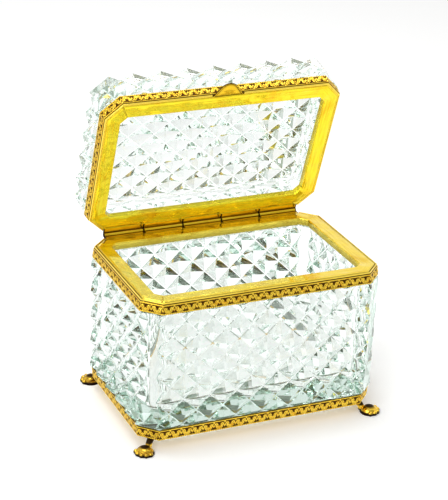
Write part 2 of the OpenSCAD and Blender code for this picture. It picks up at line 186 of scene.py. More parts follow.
table_mesh = bpy.data.meshes.new("table")
table_corners = [(x * TABLE_HALF, y * TABLE_HALF, 0) for x, y in ((-1, -1), (1, -1), (1, 1), (-1, 1))]
table_mesh.from_pydata(table_corners, [], [(0, 1, 2, 3)])
table = bpy.data.objects.new("table", table_mesh)
bpy.context.scene.collection.objects.link(table)
table_white = bpy.data.materials.new("white table")
table_white.use_nodes = True
tt = table_white.node_tree
tt.nodes.clear()
table_ray = node(tt, "ShaderNodeLightPath").outputs
seen_paper = lit_paper(tt, (0.95, 0.97, 0.99), (1.0, 0.92, 0.80), 0.19)
pale_paper = lit_paper(tt, (0.42, 0.42, 0.42), WHITE, 0.78)
plain_paper = node(tt, "ShaderNodeBsdfDiffuse", i0=(0.8, 0.8, 0.8, 1)).outputs[0]
in_gloss = maths(tt, "MAXIMUM", table_ray["Is Glossy Ray"], table_ray["Is Transmission Ray"])
table_light = mix_shaders(tt, table_ray["Is Diffuse Ray"], seen_paper, plain_paper)
wire(tt, mix_shaders(tt, in_gloss, table_light, pale_paper), node(tt, "ShaderNodeOutputMaterial").inputs[0])
table_mesh.materials.append(table_white)

# ------------------------------------------------------------------ cut crystal, body and lid
# Two blocks of lead crystal, blown into a mould and then cut on a wheel: deep crossed cuts with a
# narrow flat along their floors leave pointed diamonds, and the eight corners stay plain. Both
# blocks are hollowed, with soft edges inside, and polished all over.

# the mounts: outline and its 45 degree corners, heights, parting gap, hinge axis and opening
CASE_W, CASE_D, CASE_LEG = 0.150, 0.096, 0.0097
RIM_H, FOOT_H = 0.0956, 0.0075
MOUNT_H, BASE_MOUNT_H, FLANGE_T, LEDGE_T = 0.0071, 0.0066, 0.0012, 0.0015
BASE_TOP = FOOT_H + BASE_MOUNT_H
PARTING = 0.0003
HINGE_Y, HINGE_Z = CASE_D / 2 + 0.0032, RIM_H + PARTING / 2
LID_OPEN = math.radians(71.15)
# the cuts: depth, flat as a share of a facet, start inside the outline, plain corners, diamonds
# across the front and a side, rows, and how far the diamonds along the lid's edge stand out
CUT_DEPTH, CUT_FLAT, CUT_IN, PLAIN_LEG = 0.00385, 0.05, 0.00045, 0.0072
ACROSS, ALONG = 8, 5
ROW_H, ROW_DROP, CUT_GAP = 0.00836, 0.005, 0.0004
LID_ROWS, LID_H, LID_EDGE = 2, 0.027, 0.6 * CUT_DEPTH
# the blocks: collars just clear of the plaster bed that holds them, walls, bottom and lid's top
BED_T, CLEAR = 0.0004, 0.00005
COLLAR_IN, WALL_IN, BOTTOM_T, LID_TOP_T = 0.0025 + CLEAR, 0.0087, 0.015, 0.0095
BODY_Z = (FOOT_H + LEDGE_T + BED_T + CLEAR, RIM_H - FLANGE_T - BED_T - CLEAR)
LAP = 0.001
LID_COLLAR_Z = (FLANGE_T + BED_T + CLEAR, MOUNT_H + LAP)
WELL_FLOOR, LID_WELL = BODY_Z[0] + BOTTOM_T, LID_H - CUT_DEPTH - LID_TOP_T

cols = np.array([2 * ACROSS + 1, 2 * ALONG + 1] * 2)
starts = np.concatenate([[0], np.cumsum(cols)[:-1]])
around = int(cols.sum())
face_of = np.repeat(np.arange(4), cols)
place_in = np.arange(around) - starts[face_of]
half_len = np.where(face_of % 2 == 0, CASE_W, CASE_D) / 2 - PLAIN_LEG
half_step = 2 * half_len / (cols[face_of] - 1)
OUT_OF = np.array([(0, -1), (1, 0), (0, 1), (-1, 0)])
ALONG_OF = np.array([(1, 0), (0, 1), (-1, 0), (0, -1)])


def crosses(row, twist):
    """Whether the cuts cross at each column of a row: every other column, odd ones on even rows."""
    return (place_in + row + face_of * twist) % 2 == 1


def lattice_row(row, z, depth, lift, twist):
    """One row of the lattice as (floor points, tall points). A diamond's point stands depth out from
    the outline and lift above its row; over a plain corner it slides down its ridge to the corner."""
    a = place_in * half_step - half_len
    slide = np.where(place_in == 0, 1, np.where(place_in == cols[face_of] - 1, -1, 0))
    reach = half_step * (1 - CUT_FLAT)
    out = np.where(slide == 0, depth, depth * reach / (depth + reach)) * ~crosses(row, twist)
    side = np.where(face_of % 2 == 0, CASE_D, CASE_W) / 2 - CUT_IN

    def point(along, outset, height):
        flat = ALONG_OF[face_of] * along[:, None] + OUT_OF[face_of] * (side + outset)[:, None]
        return np.column_stack([flat, np.broadcast_to(height, around)])

    return point(a, 0 * a, z), point(a + slide * out, out, z + lift * (out > 0))


def split_cells(even, a, b, c, d):
    """Two triangles for each four-sided cell a b c d: split along a c where even, and else along b d."""
    even = even[:, None]
    return [np.where(even, np.column_stack([a, b, c]), np.column_stack([a, b, d])),
            np.where(even, np.column_stack([a, c, d]), np.column_stack([b, c, d]))]


def ring_faces(rows, twist):
    """Triangles between rows, counted from the bottom, each cell split along the cut that crosses it."""
    s = np.arange(around)
    t = (s + 1) % around
    made = []
    for r in range(rows):
        low, high = r * around, (r + 1) * around
        made += split_cells(crosses(rows - r, twist), low + s, low + t, high + t, high + s)
    return np.concatenate(made)


def cut_flats(floor, tall, is_point, triangles, caps):
    """Draws every diamond in from its neighbours: on each edge from a point A to a crossing X a new
    point lies at A + (X - A)(1 - flat), so each facet leaves a strip of cut floor beside it."""
    marks = is_point[triangles]
    turn = np.arange(3)
    lone, pair = marks.sum(1) == 1, marks.sum(1) == 2
    one = np.take_along_axis(triangles[lone], (marks[lone].argmax(1)[:, None] + turn) % 3, 1)
    two = np.take_along_axis(triangles[pair], (marks[pair].argmin(1)[:, None] + turn) % 3, 1)
    rims = [np.column_stack([cap, np.roll(cap, -1)]) for cap in caps]
    mixed = [is_point[rim].sum(1) == 1 for rim in rims]
    turned = [np.where(is_point[rim[m]][:, :1], rim[m], rim[m][:, ::-1]) for rim, m in zip(rims, mixed)]
    edges = np.concatenate([one[:, [0, 1]], one[:, [0, 2]], two[:, [1, 0]], two[:, [2, 0]], *turned])
    known, found = np.unique(edges, axis=0, return_inverse=True)
    drawn_in = floor[known[:, 0]] + (floor[known[:, 1]] - floor[known[:, 0]]) * (1 - CUT_FLAT)
    ends = np.cumsum([len(one), len(one), len(two), len(two)] + [len(t) for t in turned])
    p, q, r, t, *on_caps = np.split(found.ravel() + len(tall), ends[:-1])
    faces = np.column_stack([one[:, 0], p, q]).tolist()
    faces += np.column_stack([p, one[:, 1], one[:, 2], q]).tolist()
    faces += np.column_stack([two[:, 0], r, two[:, 1], two[:, 2], t]).tolist()
    faces += triangles[~lone & ~pair].tolist()
    for cap, m, extra in zip(caps, mixed, on_caps):
        order = np.concatenate([np.arange(len(cap)), np.flatnonzero(m) + 0.5])
        faces.append(np.concatenate([cap, extra])[np.argsort(order)].tolist())
    return np.concatenate([tall, drawn_in]), faces


def solid(name, vertices, faces):
    """A mesh object from points and faces, with its normals made to point outwards."""
    mesh = bpy.data.meshes.new(name)
    mesh.from_pydata(np.asarray(vertices, float).tolist(), [], faces)
    work = bmesh.new()
    work.from_mesh(mesh)
    bmesh.ops.recalc_face_normals(work, faces=work.faces)
    work.to_mesh(mesh)
    work.free()
    made = bpy.data.objects.new(name, mesh)
    bpy.context.scene.collection.objects.link(made)
    return made


def tube_faces(n, m):
    """The two ends of m closed rings of n points, and the quads between the rings."""
    here = np.arange(n * (m - 1)).reshape(m - 1, n)
    ahead = np.roll(here, -1, 1)
    quads = np.stack([here, ahead, ahead + n, here + n], -1).reshape(-1, 4)
    return [list(range(n)), list(range(n * (m - 1), n * m))] + quads.tolist()


def stack_rings(name, rings, heights):
    """A closed solid through flat rings of equal count, each at its height."""
    points = [np.column_stack([ring, np.full(len(ring), z)]) for ring, z in zip(rings, heights)]
    return solid(name, np.concatenate(points), tube_faces(len(rings[0]), len(rings)))


def combine(target, other, operation):
    """Joins another solid to this one, cuts it away or keeps what they share, and drops the other."""
    step = target.modifiers.new(operation, "BOOLEAN")
    step.operation, step.object, step.solver = operation, other, "EXACT"
    result = bpy.data.meshes.new_from_object(target.evaluated_get(bpy.context.evaluated_depsgraph_get()))
    target.modifiers.clear()
    target.data = result
    bpy.data.objects.remove(other)


def octagon(outset):
    """Corners of the mounts' octagon, moved out, counter-clockwise from the front's left end."""
    x, y = CASE_W / 2 + outset, CASE_D / 2 + outset
    k = CASE_LEG + outset * (2 - math.sqrt(2))
    return np.array([(-x + k, -y), (x - k, -y), (x, -y + k), (x, y - k),
                     (x - k, y), (-x + k, y), (-x, y - k), (-x, -y + k)])


def prism(name, outline, z0, z1):
    """An upright block over an outline."""
    return stack_rings(name, (outline, outline), (z0, z1))


def well(name, mouth, floor, corner=0.006, soft=0.0035, per_corner=16):
    """The space inside: a rounded rectangle carried from the mouth to the floor, drawn in by
    soft (1 - cos t) while it sinks by soft sin t, so that it meets the floor in a fillet."""
    turn = np.linspace(0, math.pi / 2, 9)
    up = math.copysign(1.0, mouth - floor)
    drawn_in = np.concatenate([[0, 0], soft * (1 - np.cos(turn))[1:]])
    height = np.concatenate([[mouth], floor + up * soft * (1 - np.sin(turn))])
    x, y = CASE_W / 2 - WALL_IN - corner, CASE_D / 2 - WALL_IN - corner
    middles = np.repeat([(x, y), (-x, y), (-x, -y), (x, -y)], per_corner, 0)
    angle = np.concatenate([np.linspace(0, math.pi / 2, per_corner) + q * math.pi / 2 for q in range(4)])
    way = np.column_stack([np.cos(angle), np.sin(angle)])
    return stack_rings(name, [middles + (corner - inset) * way for inset in drawn_in], height)


def polish(piece, sharp):
    """Smooth shading over the soft edges, with every edge sharper than an angle kept."""
    piece.data.shade_smooth()
    piece.data.set_sharp_from_angle(angle=math.radians(sharp))


# where the glass's foot follows the base band, as (outset, height)
FLARE = ((0.0001, BASE_TOP + CUT_GAP),
         (CUT_DEPTH + 0.002, BASE_TOP + 0.0052),
         (0.008, RIM_H - MOUNT_H - CUT_GAP))
CUT_EDGE = 12

body_rows = math.ceil((RIM_H - ROW_DROP - BASE_TOP) / ROW_H)
row_numbers = range(body_rows, -1, -1)
rows = [lattice_row(k, RIM_H - ROW_DROP - k * ROW_H, CUT_DEPTH, 0, 1) for k in row_numbers]
floors, talls = (np.concatenate(points) for points in zip(*rows))
points_up = np.concatenate([~crosses(k, 1) for k in row_numbers])
end_rings = [np.arange(around), np.arange(around) + body_rows * around]
cut_body = solid("cut_body", *cut_flats(floors, talls, points_up, ring_faces(body_rows, 1), end_rings))
combine(cut_body, stack_rings("flare", [octagon(out) for out, _ in FLARE], [z for _, z in FLARE]), "INTERSECT")
combine(cut_body, prism("collar", octagon(-COLLAR_IN), *BODY_Z), "UNION")
combine(cut_body, well("space", BODY_Z[1] + LAP, WELL_FLOOR), "DIFFERENCE")
polish(cut_body, CUT_EDGE)


def lid_lattice():
    """The lid's side rows, and over them a flat grid where every other place stands up to LID_H.
    The top row of the sides carries the grid on: it has no places at the four plain corners."""
    nf, ns = cols[0] - 1, cols[1] - 1
    z0, z1 = MOUNT_H + CUT_GAP, LID_H - CUT_DEPTH
    rows = [lattice_row(k, z1 - k * (z1 - z0) / LID_ROWS, CUT_DEPTH, 0, 0) for k in range(LID_ROWS, 0, -1)]
    rows.append(lattice_row(0, z1, LID_EDGE, LID_EDGE, 0))
    floors, talls = (np.concatenate(points) for points in zip(*rows))
    marks = [~crosses(k, 0) for k in range(LID_ROWS, -1, -1)]
    x = np.linspace(PLAIN_LEG - CASE_W / 2, CASE_W / 2 - PLAIN_LEG, nf + 1)
    y = np.linspace(PLAIN_LEG - CASE_D / 2, CASE_D / 2 - PLAIN_LEG, ns + 1)
    across, along = np.meshgrid(x, y)
    odd = (np.add.outer(np.arange(ns + 1), np.arange(nf + 1)) % 2).ravel()
    flat = np.column_stack([across.ravel(), along.ravel(), np.full(odd.size, z1)])
    raised = flat + np.outer(odd, (0, 0, CUT_DEPTH))
    number = np.full((ns + 3, nf + 3), -1)
    top_row = LID_ROWS * around + starts
    number[1:-1, 1:-1] = (LID_ROWS + 1) * around + np.arange(odd.size).reshape(ns + 1, nf + 1)
    number[0, 1:-1] = top_row[0] + np.arange(nf + 1)
    number[1:-1, -1] = top_row[1] + np.arange(ns + 1)
    number[-1, 1:-1] = top_row[2] + np.arange(nf + 1)[::-1]
    number[1:-1, 0] = top_row[3] + np.arange(ns + 1)[::-1]
    a, b, c, d = (g.ravel() for g in (number[:-1, :-1], number[:-1, 1:], number[1:, 1:], number[1:, :-1]))
    whole = np.min([a, b, c, d], axis=0) >= 0
    j, i = (g.ravel() for g in np.indices((ns + 2, nf + 2)))
    cells = [half[whole] for half in split_cells((i + j) % 2 == 0, a, b, c, d)]
    corners = np.column_stack([a, b, c, d])[~whole]
    corners = corners[corners >= 0].reshape(-1, 3)
    triangles = np.concatenate([ring_faces(LID_ROWS, 0), *cells, corners])
    return cut_flats(np.concatenate([floors, flat]), np.concatenate([talls, raised]),
                     np.concatenate(marks + [odd == 1]), triangles, [np.arange(around)])


def open_lid(piece):
    """Turns a closed lid's piece back about the hinge: y and z about the axis by the opening angle."""
    piece.data.transform(Matrix.Translation((0, HINGE_Y, HINGE_Z)) @ Matrix.Rotation(-LID_OPEN, 4, "X")
                         @ Matrix.Translation((0, -HINGE_Y, RIM_H + PARTING - HINGE_Z)))


cut_lid = solid("cut_lid", *lid_lattice())
combine(cut_lid, prism("collar", octagon(-COLLAR_IN), *LID_COLLAR_Z), "UNION")
combine(cut_lid, well("space", -LAP, LID_WELL), "DIFFERENCE")
open_lid(cut_lid)
polish(cut_lid, CUT_EDGE)


def principled(name, colour, rough, metal=0.0):
    """A material with a Principled shader; gives the material, its tree and the shader."""
    made = bpy.data.materials.new(name)
    made.use_nodes = True
    tree = made.node_tree
    shader = tree.nodes["Principled BSDF"]
    shader.inputs["Base Color"].default_value = (*colour, 1)
    shader.inputs["Roughness"].default_value = rough
    shader.inputs["Metallic"].default_value = metal
    return made, tree, shader


def fit(piece, stuff, body, slot, *stands_for):
    """Gives a finished piece its material and its place in the part."""
    piece.data.materials.clear()
    piece.data.materials.append(stuff)
    if stands_for:
        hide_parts(*stands_for)
    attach(piece, body)


crystal, crystal_tree, crystal_shader = principled("cut crystal", (0.985, 0.995, 0.99), 0.0)
crystal_shader.inputs["Transmission Weight"].default_value = 1.0
crystal_shader.inputs["IOR"].default_value = 1.59
depth_tint = node(crystal_tree, "ShaderNodeVolumeAbsorption", i0=(0.72, 0.85, 0.79, 1), i1=11.0)
wire(crystal_tree, depth_tint.outputs[0], crystal_tree.nodes["Material Output"].inputs["Volume"])
fit(cut_body, crystal, "casket", "crystal", "body_glass")
fit(cut_lid, crystal, "lid", "crystal", "lid_glass")

# ------------------------------------------------------------------ rim and lid flanges
# Flat frames of rolled brass, gilt. They cover the ground edge of the glass, and a thin skirt
# turned down from their inner edge hangs inside the hollow. Hand-flattened, so never quite flat.
def noise(tree, place, scale, detail):
    """Soft noise over a place, as one value."""
    made = node(tree, "ShaderNodeTexNoise")
    wire(tree, place, made.inputs["Vector"])
    made.inputs["Scale"].default_value = scale
    made.inputs["Detail"].default_value = detail
    return made.outputs["Fac"]


def mapped(tree, place, scale, shift=(0, 0, 0)):
    """A place times scale, plus shift."""
    made = node(tree, "ShaderNodeMapping", vector_type="POINT")
    wire(tree, place, made.inputs["Vector"])
    made.inputs["Location"].default_value = shift
    made.inputs["Scale"].default_value = scale
    return made.outputs[0]


def gilding_wear_and_shade_group():
    """Worn gilding: tone from slow clouds and fine streaks along the strip, darkened with dirt and painted
    shade where marked. Colour = mix(mix(full, thin, clouds + streaks), dirt and shade colour, their share);
    height = waves + streaks."""
    group = bpy.data.node_groups.new("gilding wear and shade", "ShaderNodeTree")
    for name, kind in (("Place", "Vector"), ("Dirt and shade share", "Float"), ("Streaks", "Float"),
                       ("Full", "Color"), ("Thin", "Color"), ("Dirt and shade", "Color")):
        group.interface.new_socket(name, in_out="INPUT", socket_type="NodeSocket" + kind)
    for name, kind in (("Colour", "Color"), ("Roughness", "Float"), ("Height", "Float")):
        group.interface.new_socket(name, in_out="OUTPUT", socket_type="NodeSocket" + kind)
    given, out = node(group, "NodeGroupInput").outputs, node(group, "NodeGroupOutput").inputs
    clouds = noise(group, given["Place"], 55.0, 3.0)
    streaks = noise(group, mapped(group, given["Place"], (60.0, 900.0, 900.0)), 1.0, 2.0)
    streaked = maths(group, "MULTIPLY", fade(group, streaks, 0.42, 0.7), given["Streaks"])
    thin = maths(group, "ADD", fade(group, clouds, 0.5, 0.72, 0.0, 0.7), streaked, clamp=True)
    gilding = mix_colours(group, thin, given["Full"], given["Thin"])
    wire(group, mix_colours(group, given["Dirt and shade share"], gilding, given["Dirt and shade"]), out["Colour"])
    worn_rough = fade(group, thin, 0.0, 1.0, 0.16, 0.34)
    dirt_and_shade_rough = fade(group, given["Dirt and shade share"], 0.1, 0.9, 0.1, 0.6)
    wire(group, maths(group, "MAXIMUM", worn_rough, dirt_and_shade_rough), out["Roughness"])
    waves = noise(group, given["Place"], 90.0, 1.0)
    wire(group, maths(group, "MULTIPLY_ADD", streaks, 0.06, waves), out["Height"])
    return group


gilding_wear_and_shade = gilding_wear_and_shade_group()


def gilt(name, full, thin, dirt_and_shade, streaks, wave, strip=True, grain=1.0):
    """Gilt brass in its own tone. On a strip, place is (along, across) and the share of dirt and painted shade
    is read from the strip's own lay; a cast piece reads its Object coordinates. wave is the depth of the
    ripples, and a grain over 1 makes every cloud and streak finer."""
    made, tree, shader = principled(name, full, 0.2, 1.0)
    wear_and_shade = node(tree, "ShaderNodeGroup", node_tree=gilding_wear_and_shade, name="wear_and_shade")
    for socket, colour in (("Full", full), ("Thin", thin), ("Dirt and shade", dirt_and_shade)):
        wear_and_shade.inputs[socket].default_value = (*colour, 1)
    wear_and_shade.inputs["Streaks"].default_value = streaks
    if strip:
        lay = node(tree, "ShaderNodeAttribute", attribute_name="lay").outputs["Vector"]
        wire(tree, mapped(tree, lay, (grain, grain, 0)), wear_and_shade.inputs["Place"])
        wire(tree, axes(tree, lay)["Z"], wear_and_shade.inputs["Dirt and shade share"])
    else:
        wire(tree, node(tree, "ShaderNodeTexCoord").outputs["Object"], wear_and_shade.inputs["Place"])
    wire(tree, wear_and_shade.outputs["Colour"], shader.inputs["Base Color"])
    wire(tree, wear_and_shade.outputs["Roughness"], shader.inputs["Roughness"])
    bump = node(tree, "ShaderNodeBump", i0=1.0, i1=wave)
    wire(tree, wear_and_shade.outputs["Height"], bump.inputs["Height"])
    wire(tree, bump.outputs[0], shader.inputs["Normal"])
    return made


def give_lay(piece, along, across, dirt_and_shade_share):
    """Writes each point's place along and across its piece, and its share of dirt and painted shade."""
    lay = np.stack(np.broadcast_arrays(along, across, dirt_and_shade_share), -1)
    piece.data.attributes.new("lay", "FLOAT_VECTOR", "POINT").data.foreach_set("vector", lay.ravel())


STRIP_EDGE = 38


def strip(name, section, dirt_and_shade_share, spacing=0.0015, first=0, count=8, relief=None):
    """A strip carried round the mounts. Section point (e, z) at share u of side i lies at corner_i
    + u (corner_i+1 - corner_i) + e times the same of the corners' outward steps, so that the sides
    meet in mitres. relief(share, side length) gives extra outset and extra dirt and painted shade per place
    and point."""
    e, z = np.array(section).T
    across = np.concatenate([[0], np.cumsum(np.hypot(np.diff(e), np.diff(z)))])
    home, step = octagon(0), octagon(1) - octagon(0)
    side_len = np.linalg.norm(np.roll(home, -1, 0) - home, axis=1)
    order = [(first + k) % 8 for k in range(count)]
    cuts = [math.ceil(side_len[i] / spacing) for i in order]
    side = np.repeat(order, cuts)
    share = np.concatenate([np.arange(n) / n for n in cuts])
    if count < 8:
        side, share = np.append(side, order[-1]), np.append(share, 1.0)
    before = np.concatenate([[0], np.cumsum(side_len[order])])[[order.index(i) for i in side]]
    along = before + share * side_len[side]
    u = share[:, None]
    base = home[side] + u * (home[(side + 1) % 8] - home[side])
    grow = step[side] + u * (step[(side + 1) % 8] - step[side])
    rise, dark = relief(share, side_len[side]) if relief else (0, 0)
    e = e + np.broadcast_to(rise, (len(side), len(section)))
    dark = np.maximum(np.broadcast_to(np.array(dirt_and_shade_share, float), e.shape), dark)
    n, m = e.shape
    flat = base[:, None] + e[..., None] * grow[:, None]
    points = np.concatenate([flat, np.broadcast_to(z, e.shape)[..., None]], 2)
    number = np.arange(n * m).reshape(n, m)
    ahead = np.roll(number, -1, 0) if count == 8 else number[1:]
    here = number if count == 8 else number[:-1]
    faces = np.stack([here, ahead, np.roll(ahead, -1, 1), np.roll(here, -1, 1)], -1).reshape(-1, 4).tolist()
    if count < 8:
        faces += [number[0].tolist(), number[-1][::-1].tolist()]
    made = solid(name, points.reshape(-1, 3), faces)
    give_lay(made, along[:, None], across, dark)
    polish(made, STRIP_EDGE)
    return made


def on_rim(piece):
    """Lifts a mount's piece to the rim plane."""
    piece.data.transform(Matrix.Translation((0, 0, RIM_H)))


def on_lid(piece):
    """Turns a mount's piece upside down on the lid's parting face, and opens the lid."""
    piece.data.transform(Matrix.Diagonal((1, 1, -1, 1)))
    piece.data.flip_normals()
    open_lid(piece)


def arc(e, z, r, start, end, count):
    """Section points on a circle about (e, z)."""
    turn = np.radians(np.linspace(start, end, count))
    return [(e + r * c, z + r * s) for c, s in zip(np.cos(turn), np.sin(turn))]


FLANGE_IN, FLANGE_OUT, SKIRT_H, SKIRT_T = -0.0098, -0.0013, 0.0044, 0.0008
INNER_R, OUTER_R = 0.0005, 0.0003
flange = [(FLANGE_IN, -SKIRT_H), (FLANGE_IN, -0.003), (FLANGE_IN, -0.0015)]
flange += arc(FLANGE_IN + INNER_R, -INNER_R, INNER_R, 180, 90, 6)
flange += [(-0.0086, -0.00004), (-0.0075, 0), (-0.0055, -0.00005),
           (-0.0036, 0), (-0.0021, 0), (-0.0019, -0.00012)]
flange += arc(FLANGE_OUT - OUTER_R, -OUTER_R, OUTER_R, 110, 0, 5)
flange += [(FLANGE_OUT, -FLANGE_T), (FLANGE_IN + SKIRT_T, -FLANGE_T), (FLANGE_IN + SKIRT_T, -SKIRT_H)]
# share of dirt and painted shade per section point: the skirt and the underside are darkened with painted
# shade, the skirt also with a painted olive reflection of the green glass; the marks by the outer edge are
# dirt in the seam
flange_dirt_and_shade = [0.55, 0.5, 0.35] + [0] * 11 + [0.5] + [0] * 4 + [0.6] + [1] * 3

# the flanges' olive dark colours paint the skirt's shade and reflection, and the dirt in the seam
flange_gilt = gilt("flange gilding", (1.0, 0.77, 0.10), (0.80, 0.50, 0.03), (0.34, 0.28, 0.05), 0.45, 0.0012)
lid_gilt = gilt("lid gilding", (1.0, 0.82, 0.03), (0.92, 0.54, 0.01), (0.40, 0.33, 0.03), 0.6, 0.002)
# the lid's gilding is thicker and softer, and scatters some of the light
lid_gilt.node_tree.nodes["Principled BSDF"].inputs["Metallic"].default_value = 0.8
for name, stuff, body, place in (("rim_flange", flange_gilt, "casket", on_rim),
                                 ("lid_flange", lid_gilt, "lid", on_lid)):
    piece = strip(name.replace("_", "_frame_"), flange, flange_dirt_and_shade)
    place(piece)
    fit(piece, stuff, body, "gilt_brass", name)

# ------------------------------------------------------------------ beads
# A drawn half-round brass wire, soldered along the flange's edge with a dark seam on each side.
# It leaves the rear side to the hinge, and on the lid the tab breaks it.
BEAD_R, BEAD_GAP = 0.0004, 0.02030
bead = [(FLANGE_OUT, -FLANGE_T), (FLANGE_OUT, -0.0005), (-0.00096, -0.00058), (-0.00082, -0.0005)]
bead += arc(-0.00042, -0.00042, BEAD_R, 170, -8, 11)
bead += [(0, -0.00066), (0, -0.0008), (-0.00015, -0.00098), (-0.00015, -FLANGE_T)]
bead_grime = [1, 1, 1, 0.95, 0.7, 0.2] + [0] * 9 + [0.1, 0.9, 1, 1]
bead_gilt = gilt("bead gilding", (1.0, 0.74, 0.10), (0.8, 0.5, 0.03), (0.016, 0.006, 0.002), 0.2, 0.0004)
for name, body, place in (("rim_bead", "casket", on_rim), ("lid_bead", "lid", on_lid)):
    piece = strip(name.replace("_", "_wire_"), bead, bead_grime, spacing=0.003, first=5, count=7)
    if name == "lid_bead":
        gap = np.array([(-1, -0.06), (1, -0.06), (1, -0.04), (-1, -0.04)]) * (BEAD_GAP / 2, 1)
        combine(piece, prism("tab gap", gap, -0.003, 0.001), "DIFFERENCE")
    place(piece)
    fit(piece, bead_gilt, body, "gilt_brass", name)

# ------------------------------------------------------------------ embossed bands
# Thin brass ribbon, rolled over an engraved roller: scrolls curled in facing pairs between two
# borders, the lower one beaded. Gilt after rolling, and darkened down in the pattern with grime and painted
# shade.
SCROLL_LEN, BEAD_LEN, VEIN_LEN = 0.0034, 0.00118, 0.0012
BORDER_H, BEADED_H = 0.0008, 0.0010
SCROLL_RISE, BORDER_RISE = 0.00042, 0.00036
RIBBON_T, FACE_POINTS, FACE_STEP = 0.0007, 33, 0.00024


def scroll_height(s, t):
    """Height, 0 to 1, of the scroll at s along one repeat (0 to 1) and t down the frieze (-1 to 1).
    A stem rises from the foot, r = a (1 - turn) curls it into a volute, and small leaves spring
    from its foot. Each line is a ridge exp(-(distance / width)^2)."""
    turn = np.linspace(0, 1, 60)
    radius = 0.62 * (1 - 0.86 * turn)
    angle = math.pi * (1.05 - 2.5 * turn)
    stem = np.linspace(0, 1, 20)
    lines = []
    for k in (-1, 0, 1):
        lines.append((k + 0.5 + 0.55 * radius * np.cos(angle), -0.02 - radius * np.sin(angle), 0.12))
        lines.append((k - 0.12 + 0.28 * stem ** 2, 0.95 - 0.95 * stem, 0.13))
        for lean, top in ((0.3, 0.35), (-0.22, 0.5)):
            lines.append((k + 0.62 + lean * stem, 0.95 - (1 - top) * np.sin(stem * 2.2), 0.09))
        lines.append((k + 0.05 + 0.1 * stem, -0.95 + 0.35 * stem, 0.09))
    height = np.zeros_like(s)
    for lx, ly, width in lines:
        gap = (s[..., None] - lx) ** 2 + ((t[..., None] - ly) * 0.45) ** 2
        height = np.maximum(height, np.exp(-gap.min(-1) / width ** 2))
    return height


def dome(u):
    """A round rise across a strip, sqrt(1 - u^2), and nothing past its edges."""
    return np.sqrt(np.clip(1 - u ** 2, 0, 1))


def band_piece(name, top, low, out_top, out_low, back):
    """An embossed ribbon between two heights. The face is sampled finely; the relief stands out as
    border + frieze + beads, and what lies low between them is darkened with grime and painted shade."""
    drop = np.linspace(0, 1, FACE_POINTS)
    face = [(out_top + (out_low - out_top) * d, top + (low - top) * d) for d in drop]
    section = [(back, top)] + face + [(out_low - RIBBON_T, low)]
    tall = abs(top - low)
    border, beaded = BORDER_H / tall, 1 - BEADED_H / tall
    frieze = (drop > border) & (drop < beaded)
    t = np.clip((drop - border) / (beaded - border), 0, 1) * 2 - 1

    def relief(share, side_len):
        """Veined scrolls, every second one mirrored, a round border above and balls below."""
        repeats = np.maximum(1, np.round(side_len / SCROLL_LEN))
        s = (1 - np.abs(share * repeats % 2 - 1))[:, None] * np.ones_like(drop)
        veins = np.cos(np.pi * ((share * np.round(side_len / VEIN_LEN))[:, None] + 1.5 * np.abs(t))) ** 2
        scroll = scroll_height(s, np.broadcast_to(t, s.shape)) * (0.5 + 0.5 * veins)
        phase = (share * np.round(side_len / BEAD_LEN) % 1 - 0.5)[:, None] * 2
        level = (drop - (1 + beaded) / 2) / ((1 - beaded) / 2)
        edge = np.maximum(dome((drop - border / 2) / (border / 2)), dome(np.hypot(phase, level)))
        rise = np.where(frieze, SCROLL_RISE * scroll, BORDER_RISE * edge)
        # darkened where the relief lies low: grime and painted shade
        low_lying = np.clip((0.72 - np.where(frieze, scroll, edge)) / 0.5, 0, 1)
        dark = low_lying ** 2 * (3 - 2 * low_lying)
        return (np.pad(part, ((0, 0), (1, 1))) for part in (rise, dark))

    return strip(name, section, [0.5] + [0] * FACE_POINTS + [0.5], spacing=FACE_STEP, relief=relief)


# the band's near-black colour is grime and painted shade in the pattern's hollows
band_gilt = gilt("band gilding", (1.0, 0.70, 0.07), (0.90, 0.44, 0.02), (0.075, 0.028, 0.003), 0.6, 0.0002,
                 grain=5.0)
for name, body, place in (("rim_band", "casket", on_rim), ("lid_band", "lid", on_lid)):
    piece = band_piece(name.replace("band", "ribbon"), -FLANGE_T, -MOUNT_H, 0.0001, 0.0009, -0.0022)
    place(piece)
    fit(piece, band_gilt, body, "gilt_band", name)
base_ribbon = band_piece("base_ribbon", BASE_TOP, FOOT_H, 0.0003, -0.0002, -0.0006)
fit(base_ribbon, band_gilt, "casket", "gilt_band", "base_band")

# ------------------------------------------------------------------ thumb tab
# A small cast tab with a shaped edge, soldered into the gap of the lid's bead. Its middle is
# domed inside a raised rim; its edge and the groove inside the rim are darkened with grime and painted shade.
TAB_W, TAB_OUT, TAB_EDGE = 0.020, 0.0087, 50
TAB_RINGS = (  # share of the outline, height, darkening by grime and painted shade: outer face, edge, rim, dome
    (0.02, -0.0012, 0.0), (0.6, -0.0012, 0.05), (0.92, -0.0012, 0.2), (0.98, -0.00112, 0.6),
    (1.0, -0.0009, 1.0), (1.0, -0.0005, 1.0),
    (0.98, -0.00015, 0.7), (0.94, 0.0, 0.0), (0.9, -0.0001, 0.2), (0.86, -0.0004, 0.9),
    (0.8, -0.00035, 0.4), (0.7, -0.0002, 0.1), (0.5, -0.00008, 0.0), (0.25, -0.00001, 0.0), (0.02, 0.0, 0.0))


def tab_outline(count=41):
    """Outline from the bead outwards: y = h (1 - |2x/w|^2.4)^1.5, a broad bell with flared feet."""
    u = np.linspace(1, -1, count)
    return np.column_stack([TAB_W / 2 * u, TAB_OUT * (1 - np.abs(u) ** 2.4) ** 1.5])


